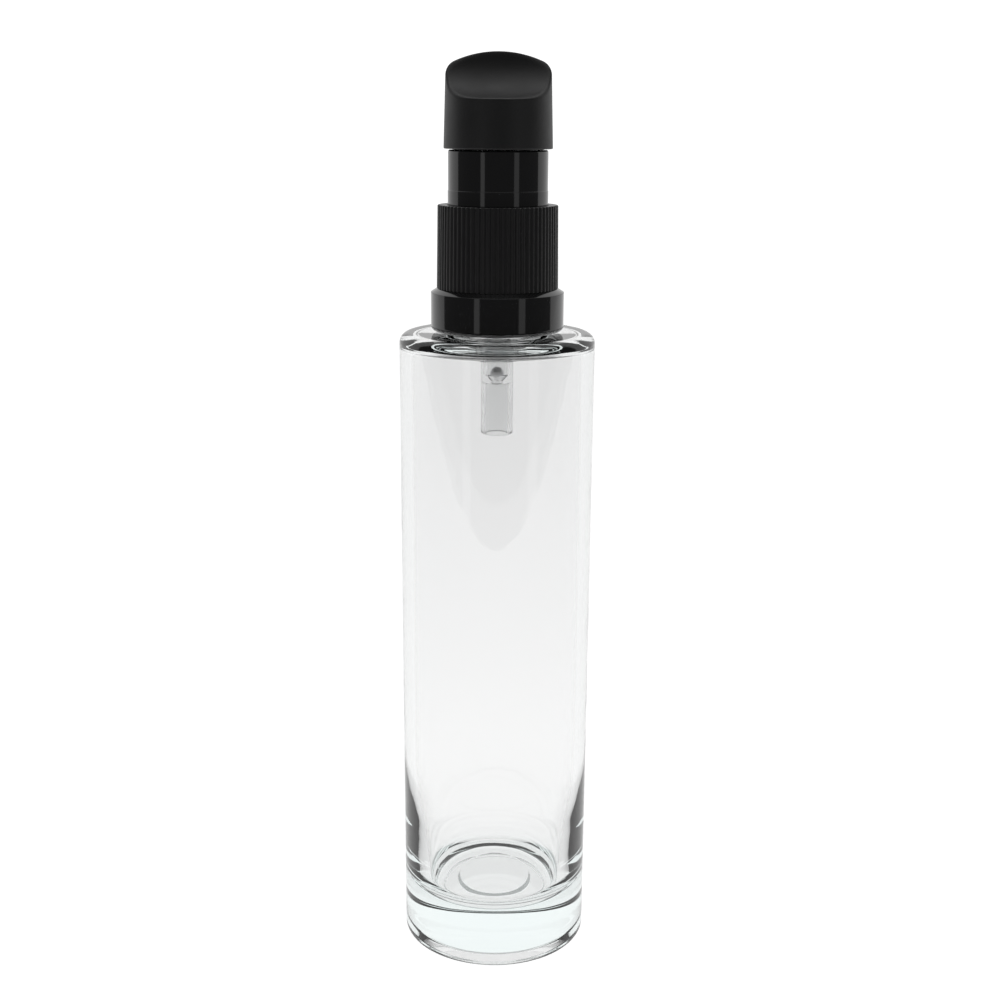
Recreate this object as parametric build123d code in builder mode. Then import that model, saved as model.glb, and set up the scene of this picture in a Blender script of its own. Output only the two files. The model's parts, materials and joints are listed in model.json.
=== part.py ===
"""Glass foundation bottle with a treatment pump, in millimetres.

The origin is the centre of the base, +Z runs up the bottle's axis, and the finger scoop faces -Y,
so the outlet faces +Y. The pump hangs in the neck, and the closure screws it down on its gasket.
"""

from build123d import *

from math import acos, atan2, degrees, sin, sqrt, tan
import os

# ---- Driving dimensions ----

# bottle
body_radius = 17.25
body_height = 116.3
wall = 2.3
floor_height = 9.6
wall_thickens_at = 31.0     # below this the wall grows thicker towards the floor
floor_corner_radius = 12.9
floor_corner_round = 4.5
disc_radius = 7.4           # shallow raised disc in the middle of the floor
disc_height = 0.5
heel_round = 1.4
shoulder_round = 1.8
shoulder_thickness = 1.9    # next to the wall
shoulder_sag = 1.2          # how much thicker the shoulder is at the neck than at the wall
inner_shoulder_round = 1.0
wall_blend_radius = 100      # eases the wall into its thicker foot
push_up_radius = 12.2       # recess in the underside that leaves a standing ring
push_up_depth = 1.3

# neck finish, 18 mm with a tall skirt
neck_root_radius = 7.75
neck_crest_radius = 8.75
neck_bore_radius = 5.3
neck_foot_round = 1.0
neck_mouth_round = 0.6
finish_height = 15.6
thread_pitch = 3.175
thread_turns = 2.0
thread_start = 6.4          # centre of the first turn, above the shoulder
thread_root_width = 1.5
thread_crest_width = 0.8
thread_sink = 0.2           # a thread's root lies this deep in the wall that carries it

# screw closure and its ring
closure_radius = 10.6
closure_top_radius = 10.42
closure_bore_radius = 9.0
closure_hole_radius = 8.74  # turns freely round the sleeve
closure_bottom = 117.1
closure_top = 138.2
closure_roof = 1.6
closure_rim_chamfer = 0.25
closure_thread_crest = 7.98
closure_thread_drop = 1.1   # the closure's thread bears on the neck's from below
closure_thread_turns = 1.25
skirt_radius = 10.15        # plain foot of the closure, inside the ring
rib_count = 72
groove_radius = 0.24
ring_radius = 11.65
ring_bottom = 116.7
ring_height = 7.35
ring_slope_height = 0.7     # conical shoulder between the ring and the ribs
ring_foot_round = 0.8
ring_edge_round = 0.15
ring_lap = 0.1              # the ring's shoulder ends just under the ribs' outside

# guide sleeve that the head slides over
sleeve_radius = 8.6
sleeve_bore_radius = 7.6
sleeve_top = 147.35
sleeve_step_height = 140.6  # below this line the sleeve is a hair thicker
sleeve_step = 0.06
sleeve_flange_radius = 8.9
sleeve_flange = 1.2
sleeve_end_play = 0.05
sleeve_rim_round = 0.35

# pump body
gasket_thickness = 0.8
gasket_radius = 7.7
gasket_play = 0.1
flange_radius = 8.3
flange_thickness = 1.2
barrel_radius = 3.8
barrel_bore_radius = 3.05
barrel_bottom = 113.2
barrel_cone = 0.95
foot_radius = 2.85
foot_bottom = 98.3
foot_round = 0.35
socket_radius = 2.0         # takes a dip tube
socket_length = 9.2
throat_radius = 0.8
seat_bottom = 107.9
seat_top = 109.0
ball_chamber_radius = 1.7
ball_chamber_lead = 0.5
ball_radius = 1.3
ball_lift = 0.9
nub_reach = 0.65            # three nubs keep the ball in its chamber
nub_height = 0.8
nub_width = 0.7
nub_clearance = 0.15
nub_root = 0.2              # how deep a nub is rooted in the wall
vent_radius = 0.35
vent_drop = 0.9             # below the piston's top at rest
chaplet_flange_radius = 7.4
chaplet_flange = 1.2
chaplet_collar_radius = 2.9
chaplet_collar_height = 2.6
chaplet_foot_round = 0.5
chaplet_rim_round = 0.3

# plunger
stroke = 5.0
running_gap = 0.04
press_gap = 0.02            # drawn between pieces that are pressed together
stem_radius = 1.8
stem_bore_radius = 1.0
stem_overlap = 0.4          # the stem's foot stays this far below the chaplet's plug
stem_top = 153.4
stem_chamfer = 0.2
rod_flange_bottom = 124.6
rod_flange = 1.1
rod_flange_radius = 2.75
shank_radius = 1.45
spigot_length = 2.6
spigot_lead = 0.3
spring_locator_radius = 1.7
spring_locator_length = 2.4
locator_lead = 0.6
locator_taper = 0.4
piston_height = 3.0
piston_slip = 0.8           # the piston slides this far on the rod and opens the ports
valve_gap = 0.1
piston_waist_radius = 2.6
lip_thickness = 0.3
lip_height = 0.5
lip_groove = 0.6            # depth of the groove behind the upper lip
slot_depth = 0.75           # slots for the liquid along the rod
slot_width = 0.7
spring_wire_radius = 0.28
spring_mean_radius = 2.4
spring_turns = 7.5
spring_end_gap = 0.05

# head
head_bottom = 147.5
head_radius = 9.35
head_top_radius = 9.0
head_side_top = 161.0
head_apex = 163.4
head_wall = 1.2
head_edge_round = 2.6
head_foot_round = 0.2
head_bore_radius = 8.72     # slides over the sleeve
head_bore_top = 152.6
scoop_lip_height = 155.8
scoop_radius = 8.4
scoop_half_length = 19.7
scoop_offset = 7.5
scoop_edge_round = 0.3
scoop_lip_rise = 0.2        # the lip lies this much above the scoop's deepest line
outlet_height = 154.9
channel_radius = 0.8
boss_radius = 1.8
socket_boss_radius = 2.9
plate_thickness = 1.2
core_gap = 0.05
core_recess = 1.1           # the core's socket starts this far up inside the head
core_drop = 0.1
channel_root = 0.2
nozzle_start = 6.75         # from the axis to the insert's back
nozzle_radius = 1.4
nozzle_length = 2.4
nozzle_play = 0.03          # between the insert and the hole in the shell
orifice_radius = 0.45
cut_margin = 1.0            # how far a cutting solid runs past the wall it cuts

# ---- Places worked out from them ----

neck_top = body_height + finish_height
cavity_radius = body_radius - wall
cavity_top = body_height - shoulder_thickness
gasket_top = neck_top + gasket_thickness
flange_top = gasket_top + flange_thickness
closure_ceiling = closure_top - closure_roof
ring_top = ring_bottom + ring_height
sleeve_flange_top = closure_ceiling - sleeve_end_play
seat_angle = atan2(ball_chamber_radius - throat_radius, seat_top - seat_bottom)
piston_bottom = rod_flange_bottom + rod_flange + valve_gap
piston_top = piston_bottom + piston_height
stem_bottom = piston_top + piston_slip + valve_gap
chaplet_plug_bottom = stem_bottom + stem_overlap
chaplet_top = flange_top + chaplet_flange
dome_rise = head_apex - head_side_top
dome_radius = (head_top_radius**2 + dome_rise**2) / (2 * dome_rise)
dome_centre = head_apex - dome_radius
scoop_centre = scoop_lip_height + scoop_radius - scoop_lip_rise
ball_rest = seat_bottom - throat_radius / tan(seat_angle) + ball_radius / sin(seat_angle) + running_gap
nub_bottom = ball_rest + ball_radius + ball_lift + nub_clearance
vent_height = piston_top - vent_drop
spring_bottom = barrel_bottom + press_gap
spring_rise = rod_flange_bottom - spring_end_gap - spring_bottom - 2 * spring_wire_radius
piston_bore_radius = shank_radius + running_gap
piston_lip_radius = barrel_bore_radius - running_gap
inner_radius = head_top_radius - head_wall
plate_bottom = head_bore_top + core_gap
plate_radius = inner_radius - press_gap
core_bottom = head_bottom + core_recess
core_top = outlet_height - core_drop
boss_reach = sqrt(inner_radius**2 - boss_radius**2) - core_gap
boss_back = channel_radius + channel_root
inner_dome_start = degrees(acos(inner_radius / (dome_radius - head_wall)))
dome_start = degrees(acos(head_top_radius / dome_radius))
thread_height = body_height + thread_start
spigot_radius = stem_bore_radius - press_gap
slot_bottom = rod_flange_bottom + rod_flange + 2 * valve_gap

os.makedirs("parts", exist_ok=True)


def save(piece, name):
    """Label a finished piece and write its STEP file."""
    piece.part.label = name
    export_step(piece.part, f"parts/{name}.step")


def corner(sketch, x, y):
    """The sketch's corner nearest to a point of its plane."""
    return sketch.vertices().sort_by_distance(Vector(x, y))[0]


def screw_ridge(root, crest, root_width, crest_width, start, turns):
    """A trapezoid ridge that climbs about Z, from its root radius to its crest: one screw thread."""
    with BuildPart(mode=Mode.PRIVATE) as ridge:
        with BuildLine() as climb:
            Helix(thread_pitch, thread_pitch * turns, root, center=(0, 0, start))
        with BuildSketch(Plane.XZ):
            with BuildLine():
                Polyline(
                    (root, start - root_width / 2),
                    (crest, start - crest_width / 2),
                    (crest, start + crest_width / 2),
                    (root, start + root_width / 2),
                    close=True,
                )
            make_face()
        sweep(path=climb.wires()[0], is_frenet=True)
    return ridge.part


# ---- Glass bottle ----
# Outer and inner outline turned about the axis, with a two-turn thread on the neck.

neck_thread = screw_ridge(neck_root_radius - thread_sink, neck_crest_radius, thread_root_width,
                          thread_crest_width, thread_height, thread_turns)

with BuildPart() as glass_bottle:
    with BuildSketch(Plane.XZ) as bottle_outline:
        with BuildLine():
            Polyline(
                (0, push_up_depth),
                (push_up_radius, push_up_depth),
                (push_up_radius + push_up_depth, 0),
                (body_radius, 0),
                (body_radius, body_height),
                (neck_root_radius, body_height),
                (neck_root_radius, neck_top),
                (neck_bore_radius, neck_top),
                (neck_bore_radius, cavity_top - shoulder_sag),
                (cavity_radius, cavity_top),
                (cavity_radius, wall_thickens_at),
                (floor_corner_radius, floor_height),
                (disc_radius, floor_height),
                (disc_radius - disc_height, floor_height + disc_height),
                (0, floor_height + disc_height),
                close=True,
            )
        make_face()
        fillet(corner(bottle_outline, body_radius, 0), heel_round)
        fillet(corner(bottle_outline, body_radius, body_height), shoulder_round)
        fillet(corner(bottle_outline, neck_root_radius, body_height), neck_foot_round)
        fillet(corner(bottle_outline, neck_root_radius, neck_top), neck_mouth_round)
        fillet(corner(bottle_outline, neck_bore_radius, neck_top), neck_mouth_round)
        fillet(corner(bottle_outline, neck_bore_radius, cavity_top - shoulder_sag), neck_foot_round)
        fillet(corner(bottle_outline, cavity_radius, cavity_top), inner_shoulder_round)
        fillet(corner(bottle_outline, cavity_radius, wall_thickens_at), wall_blend_radius)
        fillet(corner(bottle_outline, floor_corner_radius, floor_height), floor_corner_round)
    revolve(axis=Axis.Z)
    add(neck_thread)
save(glass_bottle, "glass_bottle")

# ---- Screw closure ----
# A drafted skirt with fine ribs, a plain foot inside the ring, a roof that holds the sleeve down
# and a thread that bears on the neck's thread from below.

closure_thread = screw_ridge(closure_bore_radius + thread_sink, closure_thread_crest, thread_root_width,
                             thread_crest_width, thread_height - closure_thread_drop, closure_thread_turns)

with BuildPart() as screw_closure:
    with BuildSketch(Plane.XZ):
        with BuildLine():
            Polyline(
                (closure_bore_radius, closure_bottom),
                (skirt_radius, closure_bottom),
                (skirt_radius, ring_top),
                (closure_radius, ring_top),
                (closure_top_radius, closure_top - closure_rim_chamfer),
                (closure_top_radius - closure_rim_chamfer, closure_top),
                (closure_hole_radius, closure_top),
                (closure_hole_radius, closure_ceiling),
                (closure_bore_radius, closure_ceiling),
                close=True,
            )
        make_face()
    revolve(axis=Axis.Z)
    with BuildSketch(Plane.XY.offset(ring_top)):
        with PolarLocations(closure_radius, rib_count):
            Circle(groove_radius)
    extrude(amount=closure_top - ring_top, mode=Mode.SUBTRACT)
    add(closure_thread)
save(screw_closure, "screw_closure")

# ---- Collar ring ----
# A glossy ring pressed on the closure's foot. Its shoulder is the seat for an overcap.

with BuildPart() as collar_ring:
    with BuildSketch(Plane.XZ) as ring_outline:
        with BuildLine():
            Polyline(
                (closure_bore_radius, ring_bottom),
                (ring_radius, ring_bottom),
                (ring_radius, ring_top - ring_slope_height),
                (closure_radius - ring_lap, ring_top),
                (skirt_radius, ring_top),
                (skirt_radius, closure_bottom),
                (closure_bore_radius, closure_bottom),
                close=True,
            )
        make_face()
        fillet(corner(ring_outline, ring_radius, ring_bottom), ring_foot_round)
        fillet(corner(ring_outline, ring_radius, ring_top - ring_slope_height), ring_edge_round)
    revolve(axis=Axis.Z)
save(collar_ring, "collar_ring")

# ---- Guide sleeve ----
# The tall glossy tube. Its flange is caught under the closure's roof, and its foot stands on the flange
# of the pump's housing.

with BuildPart() as guide_sleeve:
    with BuildSketch(Plane.XZ) as sleeve_outline:
        with BuildLine():
            Polyline(
                (sleeve_bore_radius, flange_top),
                (sleeve_radius, flange_top),
                (sleeve_radius, sleeve_flange_top - sleeve_flange),
                (sleeve_flange_radius, sleeve_flange_top - sleeve_flange),
                (sleeve_flange_radius, sleeve_flange_top),
                (sleeve_radius + sleeve_step, sleeve_flange_top),
                (sleeve_radius + sleeve_step, sleeve_step_height),
                (sleeve_radius, sleeve_step_height),
                (sleeve_radius, sleeve_top),
                (sleeve_bore_radius, sleeve_top),
                close=True,
            )
        make_face()
        fillet(corner(sleeve_outline, sleeve_radius, sleeve_top), sleeve_rim_round)
        fillet(corner(sleeve_outline, sleeve_bore_radius, sleeve_top), sleeve_rim_round)
    revolve(axis=Axis.Z)
save(guide_sleeve, "guide_sleeve")

# ---- Neck gasket ----

with BuildPart() as neck_gasket:
    with BuildSketch(Plane.XY.offset(neck_top)):
        Circle(gasket_radius)
        Circle(barrel_radius + gasket_play, mode=Mode.SUBTRACT)
    extrude(amount=gasket_thickness)
save(neck_gasket, "neck_gasket")

# ---- Pump housing ----
# Flange on the gasket, barrel, ball chamber with a conical seat and three nubs over it, dip tube socket.

with BuildPart() as pump_housing:
    with BuildSketch(Plane.XZ) as housing_outline:
        with BuildLine():
            Polyline(
                (socket_radius, foot_bottom),
                (foot_radius, foot_bottom),
                (foot_radius, barrel_bottom - barrel_cone),
                (barrel_radius, barrel_bottom),
                (barrel_radius, gasket_top),
                (flange_radius, gasket_top),
                (flange_radius, flange_top),
                (barrel_bore_radius, flange_top),
                (barrel_bore_radius, barrel_bottom),
                (ball_chamber_radius, barrel_bottom - ball_chamber_lead),
                (ball_chamber_radius, seat_top),
                (throat_radius, seat_bottom),
                (throat_radius, foot_bottom + socket_length),
                (socket_radius, foot_bottom + socket_length),
                close=True,
            )
        make_face()
        fillet(corner(housing_outline, foot_radius, foot_bottom), foot_round)
    revolve(axis=Axis.Z)
    with BuildSketch(Plane.XY.offset(nub_bottom)):
        with PolarLocations(ball_chamber_radius - nub_reach / 2 + nub_root / 2, 3):
            Rectangle(nub_reach + nub_root, nub_width)
    extrude(amount=nub_height)
    with BuildSketch(Plane.YZ.offset(barrel_bore_radius - cut_margin)):
        with Locations((0, vent_height)):
            Circle(vent_radius)
    extrude(amount=barrel_radius - barrel_bore_radius + 2 * cut_margin, mode=Mode.SUBTRACT)
save(pump_housing, "pump_housing")

# ---- Check ball ----

with BuildPart(Plane.XY.offset(ball_rest)) as check_ball:
    Sphere(ball_radius)
save(check_ball, "check_ball")

# ---- Chaplet ----
# The stem guide that closes the barrel, clipped down inside the sleeve's foot.

with BuildPart() as chaplet:
    with BuildSketch(Plane.XZ) as chaplet_outline:
        with BuildLine():
            Polyline(
                (stem_radius + running_gap, chaplet_plug_bottom),
                (barrel_bore_radius - press_gap, chaplet_plug_bottom),
                (barrel_bore_radius - press_gap, flange_top),
                (chaplet_flange_radius, flange_top),
                (chaplet_flange_radius, chaplet_top),
                (chaplet_collar_radius, chaplet_top),
                (chaplet_collar_radius, chaplet_top + chaplet_collar_height),
                (stem_radius + running_gap, chaplet_top + chaplet_collar_height),
                close=True,
            )
        make_face()
        fillet(corner(chaplet_outline, chaplet_collar_radius, chaplet_top), chaplet_foot_round)
        fillet(corner(chaplet_outline, chaplet_flange_radius, chaplet_top), chaplet_rim_round)
    revolve(axis=Axis.Z)
save(chaplet, "chaplet")

# ---- Return spring ----

with BuildPart() as return_spring:
    with BuildLine() as coil:
        Helix(spring_rise / spring_turns, spring_rise, spring_mean_radius,
              center=(0, 0, spring_bottom + spring_wire_radius))
    with BuildSketch(Plane(origin=coil.line @ 0, z_dir=coil.line % 0)):
        Circle(spring_wire_radius)
    sweep(path=coil.wires()[0], is_frenet=True)
save(return_spring, "return_spring")

# ---- Piston rod ----
# Spring locator, valve flange, the shank that the piston slides on, and a spigot pressed in the stem.
# Three slots let the liquid past the shank once the piston has lifted off the flange.

with BuildPart() as piston_rod:
    with BuildSketch(Plane.XZ) as rod_outline:
        with BuildLine():
            Polyline(
                (0, rod_flange_bottom - spring_locator_length),
                (spring_locator_radius - locator_taper, rod_flange_bottom - spring_locator_length),
                (spring_locator_radius, rod_flange_bottom - spring_locator_length + locator_lead),
                (spring_locator_radius, rod_flange_bottom),
                (rod_flange_radius, rod_flange_bottom),
                (rod_flange_radius, rod_flange_bottom + rod_flange / 2),
                (shank_radius, rod_flange_bottom + rod_flange),
                (shank_radius, stem_bottom - press_gap),
                (spigot_radius, stem_bottom - press_gap),
                (spigot_radius, stem_bottom + spigot_length - spigot_lead),
                (spigot_radius - spigot_lead, stem_bottom + spigot_length),
                (0, stem_bottom + spigot_length),
                close=True,
            )
        make_face()
    revolve(axis=Axis.Z)
    with BuildSketch(Plane.XY.offset(slot_bottom)):
        with PolarLocations(shank_radius, 3):
            Rectangle(2 * slot_depth, slot_width)
    extrude(amount=piston_slip + piston_height + spigot_length, mode=Mode.SUBTRACT)
save(piston_rod, "piston_rod")

# ---- Piston ----
# A soft sleeve with a sealing lip at each end, free to slide a little on the rod.

with BuildPart() as piston:
    with BuildSketch(Plane.XZ):
        with BuildLine():
            Polyline(
                (piston_bore_radius, piston_bottom),
                (piston_lip_radius, piston_bottom),
                (piston_lip_radius, piston_bottom + lip_height),
                (piston_waist_radius, piston_bottom + 2 * lip_height),
                (piston_waist_radius, piston_top - 2 * lip_height),
                (piston_lip_radius, piston_top - lip_height),
                (piston_lip_radius, piston_top),
                (piston_lip_radius - lip_thickness, piston_top),
                (piston_lip_radius - 2 * lip_thickness, piston_top - lip_groove),
                (piston_bore_radius + lip_thickness, piston_top - lip_groove),
                (piston_bore_radius + lip_thickness, piston_top),
                (piston_bore_radius, piston_top),
                close=True,
            )
        make_face()
    revolve(axis=Axis.Z)
save(piston, "piston")

# ---- Stem ----

with BuildPart() as stem:
    with BuildSketch(Plane.XY.offset(stem_bottom)):
        Circle(stem_radius)
        Circle(stem_bore_radius, mode=Mode.SUBTRACT)
    extrude(amount=stem_top - stem_bottom)
    stem_top_edges = stem.edges().filter_by(GeomType.CIRCLE).group_by(Axis.Z)[-1]
    chamfer(stem_top_edges.sort_by(SortBy.RADIUS)[-1], stem_chamfer)
save(stem, "stem")

# ---- Actuator core ----
# Stem socket, plate that is pressed in the shell, and the outlet boss.

with BuildPart() as actuator_core:
    with BuildSketch(Plane.XZ):
        with BuildLine():
            Polyline(
                (0, core_bottom),
                (socket_boss_radius, core_bottom),
                (socket_boss_radius, plate_bottom),
                (plate_radius, plate_bottom),
                (plate_radius, plate_bottom + plate_thickness),
                (socket_boss_radius, plate_bottom + plate_thickness),
                (socket_boss_radius, core_top),
                (0, core_top),
                close=True,
            )
        make_face()
    revolve(axis=Axis.Z)
    with BuildSketch(Plane.XZ.offset(boss_back)):
        with Locations((0, outlet_height)):
            Circle(boss_radius)
    extrude(amount=-boss_reach - boss_back)
    with BuildSketch(Plane.XY.offset(core_bottom)):
        Circle(stem_radius + press_gap)
    extrude(amount=stem_top - core_bottom, mode=Mode.SUBTRACT)
    with BuildSketch(Plane.XY.offset(stem_top)):
        Circle(channel_radius)
    extrude(amount=outlet_height - stem_top, mode=Mode.SUBTRACT)
    with BuildSketch(Plane.XZ):
        with Locations((0, outlet_height)):
            Circle(channel_radius)
    extrude(amount=-boss_reach, mode=Mode.SUBTRACT)
    with BuildSketch(Plane.XZ.offset(core_gap - nozzle_start)):
        with Locations((0, outlet_height)):
            Circle(nozzle_radius + press_gap)
    extrude(amount=-nozzle_length, mode=Mode.SUBTRACT)
save(actuator_core, "actuator_core")

# ---- Actuator shell ----
# Drafted side, domed top with a rounded edge, finger scoop at the front, and an inside that follows both
# at the wall's thickness.


def scoop(grow):
    """The finger scoop as a solid: an ellipse turned about its long axis, grown by a distance."""
    with BuildPart(mode=Mode.PRIVATE) as hollow:
        with BuildSketch():
            with BuildLine():
                EllipticalCenterArc((0, 0), scoop_half_length + grow, scoop_radius + grow, 0, arc_size=180)
                Line((-scoop_half_length - grow, 0), (scoop_half_length + grow, 0))
            make_face()
        revolve(axis=Axis.X)
    return Pos(0, -scoop_offset, scoop_centre) * hollow.part


finger_scoop = scoop(0)
scoop_inside = scoop(head_wall)

with BuildPart(mode=Mode.PRIVATE) as head_inside:
    with BuildSketch(Plane.XZ):
        with BuildLine():
            inner_dome_turn = 90 - inner_dome_start
            dome_inside = CenterArc((0, dome_centre), dome_radius - head_wall, inner_dome_start, inner_dome_turn)
            Polyline(dome_inside @ 0, (inner_radius, head_bore_top), (0, head_bore_top), dome_inside @ 1)
        make_face()
    revolve(axis=Axis.Z)
    add(scoop_inside, mode=Mode.SUBTRACT)

with BuildPart() as actuator_shell:
    with BuildSketch(Plane.XZ) as shell_outline:
        with BuildLine():
            dome = CenterArc((0, dome_centre), dome_radius, dome_start, 90 - dome_start)
            Polyline(dome @ 0, (head_radius, head_bottom), (0, head_bottom), dome @ 1)
        make_face()
        fillet(corner(shell_outline, head_top_radius, head_side_top), head_edge_round)
        fillet(corner(shell_outline, head_radius, head_bottom), head_foot_round)
    revolve(axis=Axis.Z)
    add(finger_scoop, mode=Mode.SUBTRACT)
    fillet(actuator_shell.edges(Select.LAST).filter_by(GeomType.BSPLINE), scoop_edge_round)
    add(head_inside.part, mode=Mode.SUBTRACT)
    with BuildSketch(Plane.XY.offset(head_bottom)):
        Circle(head_bore_radius)
    extrude(amount=head_bore_top - head_bottom, mode=Mode.SUBTRACT)
    with BuildSketch(Plane.XZ.offset(cut_margin - inner_radius)):
        with Locations((0, outlet_height)):
            Circle(nozzle_radius + nozzle_play)
    extrude(amount=-nozzle_length - cut_margin, mode=Mode.SUBTRACT)
save(actuator_shell, "actuator_shell")

# ---- Nozzle insert ----

with BuildPart() as nozzle_insert:
    with BuildSketch(Plane.XZ.offset(-nozzle_start)):
        with Locations((0, outlet_height)):
            Circle(nozzle_radius)
            Circle(orifice_radius, mode=Mode.SUBTRACT)
    extrude(amount=-nozzle_length)
    with BuildSketch(Plane.XZ.offset(-nozzle_start)):
        with Locations((0, outlet_height)):
            Circle(channel_radius)
    extrude(amount=-nozzle_length / 2, mode=Mode.SUBTRACT)
save(nozzle_insert, "nozzle_insert")
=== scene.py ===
"""Finished surfaces and studio for a glass foundation bottle with a treatment pump.

Every length is in metres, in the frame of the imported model: the origin is the centre of the base, +Z runs up
the bottle's axis, and the finger scoop of the head faces -Y.
"""

import json
from math import cos, pi, radians, sqrt

import bpy
import numpy as np
from bpy.props import FloatProperty, FloatVectorProperty, IntProperty, PointerProperty
from mathutils import Matrix, Vector


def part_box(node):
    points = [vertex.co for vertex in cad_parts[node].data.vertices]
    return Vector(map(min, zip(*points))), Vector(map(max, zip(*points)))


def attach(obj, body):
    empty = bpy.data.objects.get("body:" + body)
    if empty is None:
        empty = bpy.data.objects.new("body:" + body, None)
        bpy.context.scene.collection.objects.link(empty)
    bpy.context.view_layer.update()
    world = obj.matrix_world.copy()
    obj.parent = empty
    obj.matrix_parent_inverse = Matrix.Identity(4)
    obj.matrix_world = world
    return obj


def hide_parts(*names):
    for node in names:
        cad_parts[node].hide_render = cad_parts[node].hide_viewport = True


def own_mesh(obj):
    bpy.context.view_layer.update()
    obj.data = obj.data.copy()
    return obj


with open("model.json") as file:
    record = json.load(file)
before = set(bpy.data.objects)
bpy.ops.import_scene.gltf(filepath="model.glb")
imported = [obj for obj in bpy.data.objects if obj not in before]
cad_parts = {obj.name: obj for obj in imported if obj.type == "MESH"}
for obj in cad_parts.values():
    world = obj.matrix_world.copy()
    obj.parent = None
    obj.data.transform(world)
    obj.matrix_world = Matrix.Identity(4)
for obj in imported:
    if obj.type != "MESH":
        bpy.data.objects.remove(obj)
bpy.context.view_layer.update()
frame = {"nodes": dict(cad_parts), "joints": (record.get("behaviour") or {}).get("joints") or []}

bl_info = {
    "name": "Foundation Bottle",
    "version": (1, 0, 0),
    "blender": (4, 5, 0),
    "location": "3D Viewport > Sidebar > Bottle",
    "description": "Glass foundation bottle with a ribbed closure and a treatment pump",
    "category": "Add Mesh",
}

MM = 0.001
FULL_TURN = 2 * pi
NEAR = 0.01 * MM


# ---- Settings ----


def length(name, description, millimetres):
    """A length that a user may change, given in millimetres and held in metres."""
    return FloatProperty(
        name=name, description=description, default=millimetres * MM, unit="LENGTH", precision=5
    )


def share(name, description, value, top=1.0):
    """A plain number, from nothing up to a top value."""
    return FloatProperty(name=name, description=description, default=value, min=0.0, max=top)


def angle_of(name, description, degrees):
    """An angle, given in degrees and held in radians."""
    return FloatProperty(name=name, description=description, default=radians(degrees), unit="ROTATION")


def tone(name, description, red, green, blue):
    """A colour."""
    return FloatVectorProperty(
        name=name, description=description, default=(red, green, blue), subtype="COLOR", min=0.0, max=1.0
    )


def top_of(node):
    """Height of a node's highest point, in millimetres."""
    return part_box(node)[1][2] / MM


def foot_of(node):
    """Height of a node's lowest point, in millimetres."""
    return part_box(node)[0][2] / MM


def reach_of(node):
    """How far a round node reaches from the axis, in millimetres."""
    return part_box(node)[1][0] / MM


class BottleSettings(bpy.types.PropertyGroup):
    """Sizes and colours of the glass bottle."""

    radius: length("Radius", "Outside radius of the body", reach_of("glass_bottle"))
    shoulder: length("Shoulder", "Height of the flat shoulder", 116.3)
    mouth: length("Mouth", "Height of the neck's rim", top_of("glass_bottle"))
    wall: length("Wall", "Thickness of the wall", 2.3)
    shoulder_wall: length("Shoulder Wall", "Thickness of the shoulder next to the wall", 1.9)
    shoulder_sag: length("Shoulder Sag", "How much thicker the shoulder is at the neck", 1.2)
    floor: length("Floor", "Height of the cavity's floor", 9.6)
    thick_from: length("Thick From", "Height under which the wall grows thicker", 31.0)
    floor_corner: length("Floor Corner", "Radius at which the thick wall meets the floor", 12.9)
    floor_round: length("Floor Rounding", "Rounding between the wall and the floor", 4.5)
    wall_blend: length("Wall Blend", "Rounding where the wall starts to grow thicker", 100.0)
    disc: length("Disc", "Radius of the raised disc in the middle of the floor", 7.4)
    disc_height: length("Disc Height", "How far the disc stands above the floor", 0.5)
    disc_round: length("Disc Rounding", "Rounding of the disc's edge", 0.35)
    heel_round: length("Heel Rounding", "Outer rounding at the base", 1.4)
    shoulder_round: length("Shoulder Rounding", "Outer rounding at the shoulder", 1.8)
    inner_round: length("Inner Rounding", "Rounding at the top of the cavity", 1.0)
    push_up: length("Push Up", "Radius of the recess in the underside", 12.2)
    push_up_depth: length("Push Up Depth", "Depth of the recess in the underside", 1.3)
    push_up_round: length("Push Up Rounding", "Rounding of the recess", 0.9)
    neck: length("Neck", "Radius of the neck under its thread", 7.75)
    neck_bore: length("Neck Bore", "Radius of the hole through the neck", 5.3)
    neck_round: length("Neck Rounding", "Rounding at the foot of the neck", 1.0)
    rim_round: length("Rim Rounding", "Rounding of the neck's rim", 0.6)
    # Painted shade: the upper glass's colour is darkened to stand in for the darker backdrop seen through it.
    painted_glass_shade: tone("Tint", "Painted shade of the upper glass, for the backdrop that is darker higher up", 0.925, 0.922, 0.923)
    depth_colour: tone("Depth Colour", "Colour of light after a long way in the glass", 0.62, 0.84, 0.82)
    depth_density: share("Depth Density", "How fast light is taken up, for each metre of glass", 9.0, 100.0)
    index: share("Refraction", "Index of refraction of the glass", 1.52, 3.0)


class ThreadSettings(bpy.types.PropertyGroup):
    """The screw thread that the neck and the closure share."""

    pitch: length("Pitch", "Rise of the thread in one turn", 3.175)
    start: length("Start", "Height of the neck thread's first turn", 122.7)
    crest: length("Crest", "Radius of the neck thread's crest", 8.75)
    turns: share("Turns", "Turns of thread on the neck", 2.0, 5.0)
    closure_crest: length("Closure Crest", "Radius of the closure thread's crest", 7.98)
    closure_start: length("Closure Start", "Height of the closure thread's first turn", 121.6)
    closure_turns: share("Closure Turns", "Turns of thread in the closure", 1.25, 5.0)
    root_width: length("Root Width", "Width of the ridge at its root", 1.5)
    crest_width: length("Crest Width", "Width of the ridge at its crest", 0.8)
    fade: angle_of("Fade", "Turn over which a thread runs out at its ends", 25)


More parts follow.
